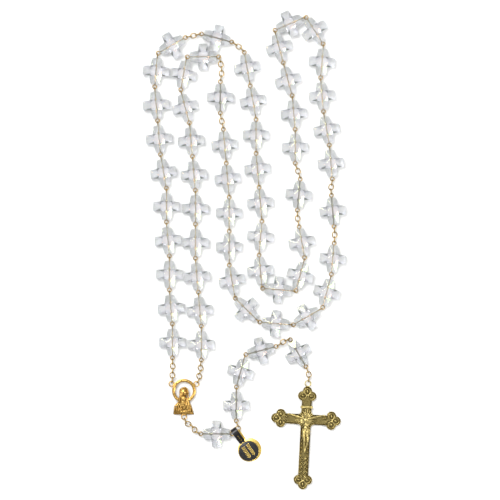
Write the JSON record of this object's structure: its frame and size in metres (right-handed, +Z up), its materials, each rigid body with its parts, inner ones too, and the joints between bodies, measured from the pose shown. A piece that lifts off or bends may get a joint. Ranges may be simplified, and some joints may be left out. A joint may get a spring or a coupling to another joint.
{
  "type": "rosary",
  "caption": "Rosary of clear crystal cross beads on gold wire pins and chain, with a Marian centre medal, a trefoil crucifix and a folded tag, laid out flat.",
  "frame": {"origin": "middle of the laid-out footprint, on the table", "axes": "+X across the laid-out rosary, +Y along it towards the top of the loop, +Z up from the table"},
  "size_m": [0.1058, 0.2489, 0.0052],
  "materials": {
    "crystal": "clear cut crystal with a faint rainbow coating",
    "pin_wire": "gold-plated wire, polished",
    "chain_wire": "gold-plated chain, polished",
    "medal_gold": "cast, warm gold plate with darkened hollows",
    "antique_gold": "cast, antiqued pale gold with dark hollows",
    "tag_black": "glossy black coated paper with a gold rim",
    "tag_gold": "gold foil on paper"
  },
  "bodies": {
    "centre_medal": {"centre_medal": "medal_gold"},
    "medal_chain_left": {"medal_chain_left": "chain_wire"},
    "medal_chain_right": {"medal_chain_right": "chain_wire"},
    "decade_1_first": {"decade_1_first_beads": "crystal", "decade_1_first_pins": "pin_wire"},
    "decade_1_last": {"decade_1_last_beads": "crystal", "decade_1_last_pins": "pin_wire"},
    "decade_2_first": {"decade_2_first_beads": "crystal", "decade_2_first_pins": "pin_wire"},
    "decade_2_last": {"decade_2_last_beads": "crystal", "decade_2_last_pins": "pin_wire"},
    "decade_3_first": {"decade_3_first_beads": "crystal", "decade_3_first_pins": "pin_wire"},
    "decade_3_last": {"decade_3_last_beads": "crystal", "decade_3_last_pins": "pin_wire"},
    "decade_4_first": {"decade_4_first_beads": "crystal", "decade_4_first_pins": "pin_wire"},
    "decade_4_last": {"decade_4_last_beads": "crystal", "decade_4_last_pins": "pin_wire"},
    "decade_5_first": {"decade_5_first_beads": "crystal", "decade_5_first_pins": "pin_wire"},
    "decade_5_last": {"decade_5_last_beads": "crystal", "decade_5_last_pins": "pin_wire"},
    "pater_1_pin": {"pater_1_pin": "pin_wire"},
    "pater_1_bead": {"pater_1_bead": "crystal"},
    "pater_1_chain_in": {"pater_1_chain_in": "chain_wire"},
    "pater_1_chain_out": {"pater_1_chain_out": "chain_wire"},
    "pater_2_pin": {"pater_2_pin": "pin_wire"},
    "pater_2_bead": {"pater_2_bead": "crystal"},
    "pater_2_chain_in": {"pater_2_chain_in": "chain_wire"},
    "pater_2_chain_out": {"pater_2_chain_out": "chain_wire"},
    "pater_3_pin": {"pater_3_pin": "pin_wire"},
    "pater_3_bead": {"pater_3_bead": "crystal"},
    "pater_3_chain_in": {"pater_3_chain_in": "chain_wire"},
    "pater_3_chain_out": {"pater_3_chain_out": "chain_wire"},
    "pater_4_pin": {"pater_4_pin": "pin_wire"},
    "pater_4_bead": {"pater_4_bead": "crystal"},
    "pater_4_chain_in": {"pater_4_chain_in": "chain_wire"},
    "pater_4_chain_out": {"pater_4_chain_out": "chain_wire"},
    "pendant_chain": {"pendant_chain": "chain_wire"},
    "pendant_pater_pin": {"pendant_pater_pin": "pin_wire"},
    "pendant_pater_bead": {"pendant_pater_bead": "crystal"},
    "ave_1_pin": {"ave_1_pin": "pin_wire"},
    "ave_1_bead": {"ave_1_bead": "crystal"},
    "ave_2_pin": {"ave_2_pin": "pin_wire"},
    "ave_2_bead": {"ave_2_bead": "crystal"},
    "ave_3_pin": {"ave_3_pin": "pin_wire"},
    "ave_3_bead": {"ave_3_bead": "crystal"},
    "last_pater_pin": {"last_pater_pin": "pin_wire"},
    "last_pater_bead": {"last_pater_bead": "crystal"},
    "tag_chain": {"tag_chain": "chain_wire"},
    "last_pater_chain": {"last_pater_chain": "chain_wire"},
    "crucifix_chain": {"crucifix_chain": "chain_wire"},
    "crucifix": {"crucifix_cross": "antique_gold", "crucifix_corpus": "antique_gold", "crucifix_scroll": "antique_gold"},
    "tag": {"tag_front": "tag_black", "tag_back": "tag_gold"}
  },
  "joints": [
    {"name": "medal_left_lift", "type": "hinge", "parent": "centre_medal", "child": "medal_chain_left", "pos_m": [-0.03769, -0.06839, 0.002], "axis": [0.9848, -0.1736, 0], "range_deg": [0, 45]},
    {"name": "decade_1_first_lift", "type": "hinge", "parent": "medal_chain_left", "child": "decade_1_first", "pos_m": [-0.03738, -0.05707, 0.0026], "axis": [1, 0, 0], "range_deg": [0, 45]},
    {"name": "decade_1_last_lift", "type": "hinge", "parent": "decade_1_first", "child": "decade_1_last", "pos_m": [-0.04036, 0.0311, 0.0026], "axis": [0.9848, 0.1736, 0], "range_deg": [0, 45]},
    {"name": "pater_1_chain_in_lift", "type": "hinge", "parent": "decade_1_last", "child": "pater_1_chain_in", "pos_m": [-0.02977, 0.11069, 0.0026], "axis": [0.5, -0.866, 0], "range_deg": [0, 45]},
    {"name": "pater_1_lift", "type": "hinge", "parent": "pater_1_chain_in", "child": "pater_1_pin", "pos_m": [-0.02324, 0.11231, 0.0026], "axis": [-0.2588, -0.9659, 0], "range_deg": [0, 45]},
    {"name": "pater_1_chain_out_lift", "type": "hinge", "parent": "pater_1_pin", "child": "pater_1_chain_out", "pos_m": [-0.00561, 0.10759, 0.0026], "axis": [-0.2588, -0.9659, 0], "range_deg": [0, 45]},
    {"name": "decade_2_first_lift", "type": "hinge", "parent": "pater_1_chain_out", "child": "decade_2_first", "pos_m": [-0.00022, 0.10343, 0.0026], "axis": [-0.9848, -0.1736, 0], "range_deg": [0, 45]},
    {"name": "decade_2_last_lift", "type": "hinge", "parent": "decade_2_first", "child": "decade_2_last", "pos_m": [0.00915, 0.01581, 0.0026], "axis": [-0.9962, 0.0872, 0], "range_deg": [0, 45]},
    {"name": "pater_2_chain_in_lift", "type": "hinge", "parent": "decade_2_last", "child": "pater_2_chain_in", "pos_m": [0.0282, 0.01295, 0.0026], "axis": [0.9848, 0.1736, 0], "range_deg": [0, 45]},
    {"name": "pater_2_lift", "type": "hinge", "parent": "pater_2_chain_in", "child": "pater_2_pin", "pos_m": [0.02741, 0.01953, 0.0026], "axis": [0.9962, -0.0872, 0], "range_deg": [0, 45]},
    {"name": "pater_2_chain_out_lift", "type": "hinge", "parent": "pater_2_pin", "child": "pater_2_chain_out", "pos_m": [0.029, 0.03771, 0.0026], "axis": [0.9962, -0.0872, 0], "range_deg": [0, 45]},
    {"name": "decade_3_first_lift", "type": "hinge", "parent": "pater_2_chain_out", "child": "decade_3_first", "pos_m": [0.02638, 0.0439, 0.0026], "axis": [1, 0, 0], "range_deg": [0, 45]},
    {"name": "medal_right_lift", "type": "hinge", "parent": "centre_medal", "child": "medal_chain_right", "pos_m": [-0.02429, -0.06854, 0.002], "axis": [0.866, -0.5, 0], "range_deg": [0, 30]},
    {"name": "decade_5_last_lift", "type": "hinge", "parent": "medal_chain_right", "child": "decade_5_last", "pos_m": [-0.02234, -0.05825, 0.0026], "axis": [1, 0, 0], "range_deg": [0, 30]},
    {"name": "decade_5_first_lift", "type": "hinge", "parent": "decade_5_last", "child": "decade_5_first", "pos_m": [-0.02537, 0.02992, 0.0026], "axis": [0.9962, 0.0872, 0], "range_deg": [0, 30]},
    {"name": "pater_4_chain_in_lift", "type": "hinge", "parent": "decade_5_first", "child": "pater_4_chain_in", "pos_m": [-0.01235, 0.10014, 0.0026], "axis": [0, -1, 0], "range_deg": [0, 30]},
    {"name": "pater_4_lift", "type": "hinge", "parent": "pater_4_chain_in", "child": "pater_4_pin", "pos_m": [-0.01252, 0.08823, 0.0026], "axis": [-1, 0, 0], "range_deg": [0, 30]},
    {"name": "pater_4_chain_out_lift", "type": "hinge", "parent": "pater_4_pin", "child": "pater_4_chain_out", "pos_m": [-0.01252, 0.06998, 0.0026], "axis": [-1, 0, 0], "range_deg": [0, 30]},
    {"name": "decade_4_last_lift", "type": "hinge", "parent": "pater_4_chain_out", "child": "decade_4_last", "pos_m": [-0.01105, 0.06349, 0.0026], "axis": [-0.9962, -0.0872, 0], "range_deg": [0, 30]},
    {"name": "decade_4_first_lift", "type": "hinge", "parent": "decade_4_last", "child": "decade_4_first", "pos_m": [-0.00528, -0.02458, 0.0026], "axis": [-0.7071, -0.7071, 0], "range_deg": [0, 30]},
    {"name": "pater_3_chain_in_lift", "type": "hinge", "parent": "decade_4_first", "child": "pater_3_chain_in", "pos_m": [0.04663, 0.00446, 0.0026], "axis": [0.9962, -0.0872, 0], "range_deg": [0, 30]},
    {"name": "pater_3_lift", "type": "hinge", "parent": "pater_3_chain_in", "child": "pater_3_pin", "pos_m": [0.04663, 0.01108, 0.0026], "axis": [0.9962, 0.0872, 0], "range_deg": [0, 30]},
    {"name": "pater_3_chain_out_lift", "type": "hinge", "parent": "pater_3_pin", "child": "pater_3_chain_out", "pos_m": [0.04504, 0.02926, 0.0026], "axis": [0.9962, 0.0872, 0], "range_deg": [0, 30]},
    {"name": "decade_3_last_lift", "type": "hinge", "parent": "pater_3_chain_out", "child": "decade_3_last", "pos_m": [0.04571, 0.03582, 0.0026], "axis": [0.9962, 0.0872, 0], "range_deg": [0, 30]},
    {"name": "pendant_chain_swing", "type": "hinge", "parent": "centre_medal", "child": "pendant_chain", "pos_m": [-0.03118, -0.0874, 0.002], "axis": [0, 0, -1], "range_deg": [0, 40]},
    {"name": "pendant_pater_lift", "type": "hinge", "parent": "pendant_chain", "child": "pendant_pater_pin", "pos_m": [-0.02362, -0.09552, 0.0026], "axis": [0, -1, 0], "range_deg": [0, 40]},
    {"name": "tag_chain_swing", "type": "hinge", "parent": "pendant_pater_pin", "child": "tag_chain", "pos_m": [-0.00596, -0.09552, 0.0026], "axis": [0, 0, -1], "range_deg": [0, 20]},
    {"name": "ave_1_swing", "type": "hinge", "parent": "tag_chain", "child": "ave_1_pin", "pos_m": [-0.00421, -0.08919, 0.0026], "axis": [0, 0, -1], "range_deg": [0, 20]},
    {"name": "ave_2_lift", "type": "hinge", "parent": "ave_1_pin", "child": "ave_2_pin", "pos_m": [-0.00437, -0.0721, 0.0026], "axis": [0.9659, -0.2588, 0], "range_deg": [0, 40]},
    {"name": "ave_3_lift", "type": "hinge", "parent": "ave_2_pin", "child": "ave_3_pin", "pos_m": [-0.00021, -0.05462, 0.0026], "axis": [0.2588, -0.9659, 0], "range_deg": [0, 45]},
    {"name": "last_pater_chain_swing", "type": "hinge", "parent": "ave_3_pin", "child": "last_pater_chain", "pos_m": [0.01685, -0.05005, 0.0026], "axis": [0, 0, -1], "range_deg": [0, 15]},
    {"name": "last_pater_swing", "type": "hinge", "parent": "last_pater_chain", "child": "last_pater_pin", "pos_m": [0.02361, -0.04626, 0.0026], "axis": [0, 0, 1], "range_deg": [0, 30]},
    {"name": "crucifix_chain_swing", "type": "hinge", "parent": "last_pater_pin", "child": "crucifix_chain", "pos_m": [0.03215, -0.06104, 0.0026], "axis": [0, 0, 1], "range_deg": [0, 30]},
    {"name": "crucifix_swing", "type": "hinge", "parent": "crucifix_chain", "child": "crucifix", "pos_m": [0.03312, -0.06858, 0.002], "axis": [0, 0, 1], "range_deg": [0, 60]},
    {"name": "tag_flip", "type": "hinge", "parent": "tag_chain", "child": "tag", "pos_m": [-0.00473, -0.09466, 0.0026], "axis": [-0.8192, -0.5736, 0], "range_deg": [0, 100]},
    {"name": "pater_1_spin", "type": "hinge", "parent": "pater_1_pin", "child": "pater_1_bead", "pos_m": [-0.01443, 0.10995, 0.0026], "axis": [0.9659, -0.2588, 0], "continuous": true},
    {"name": "pater_2_spin", "type": "hinge", "parent": "pater_2_pin", "child": "pater_2_bead", "pos_m": [0.02821, 0.02862, 0.0026], "axis": [0.0872, 0.9962, 0], "continuous": true},
    {"name": "pater_3_spin", "type": "hinge", "parent": "pater_3_pin", "child": "pater_3_bead", "pos_m": [0.04583, 0.02017, 0.0026], "axis": [-0.0872, 0.9962, 0], "continuous": true},
    {"name": "pater_4_spin", "type": "hinge", "parent": "pater_4_pin", "child": "pater_4_bead", "pos_m": [-0.01252, 0.07911, 0.0026], "axis": [0, -1, 0], "continuous": true},
    {"name": "pendant_pater_spin", "type": "hinge", "parent": "pendant_pater_pin", "child": "pendant_pater_bead", "pos_m": [-0.0145, -0.09552, 0.0026], "axis": [1, 0, 0], "continuous": true},
    {"name": "ave_1_spin", "type": "hinge", "parent": "ave_1_pin", "child": "ave_1_bead", "pos_m": [-0.00421, -0.08065, 0.0026], "axis": [0, 1, 0], "continuous": true},
    {"name": "ave_2_spin", "type": "hinge", "parent": "ave_2_pin", "child": "ave_2_bead", "pos_m": [-0.002, -0.06328, 0.0026], "axis": [0.2588, 0.9659, 0], "continuous": true},
    {"name": "ave_3_spin", "type": "hinge", "parent": "ave_3_pin", "child": "ave_3_bead", "pos_m": [0.0086, -0.05226, 0.0026], "axis": [0.9659, 0.2588, 0], "continuous": true},
    {"name": "last_pater_spin", "type": "hinge", "parent": "last_pater_pin", "child": "last_pater_bead", "pos_m": [0.02788, -0.05365, 0.0026], "axis": [0.5, -0.866, 0], "continuous": true}
  ]
}
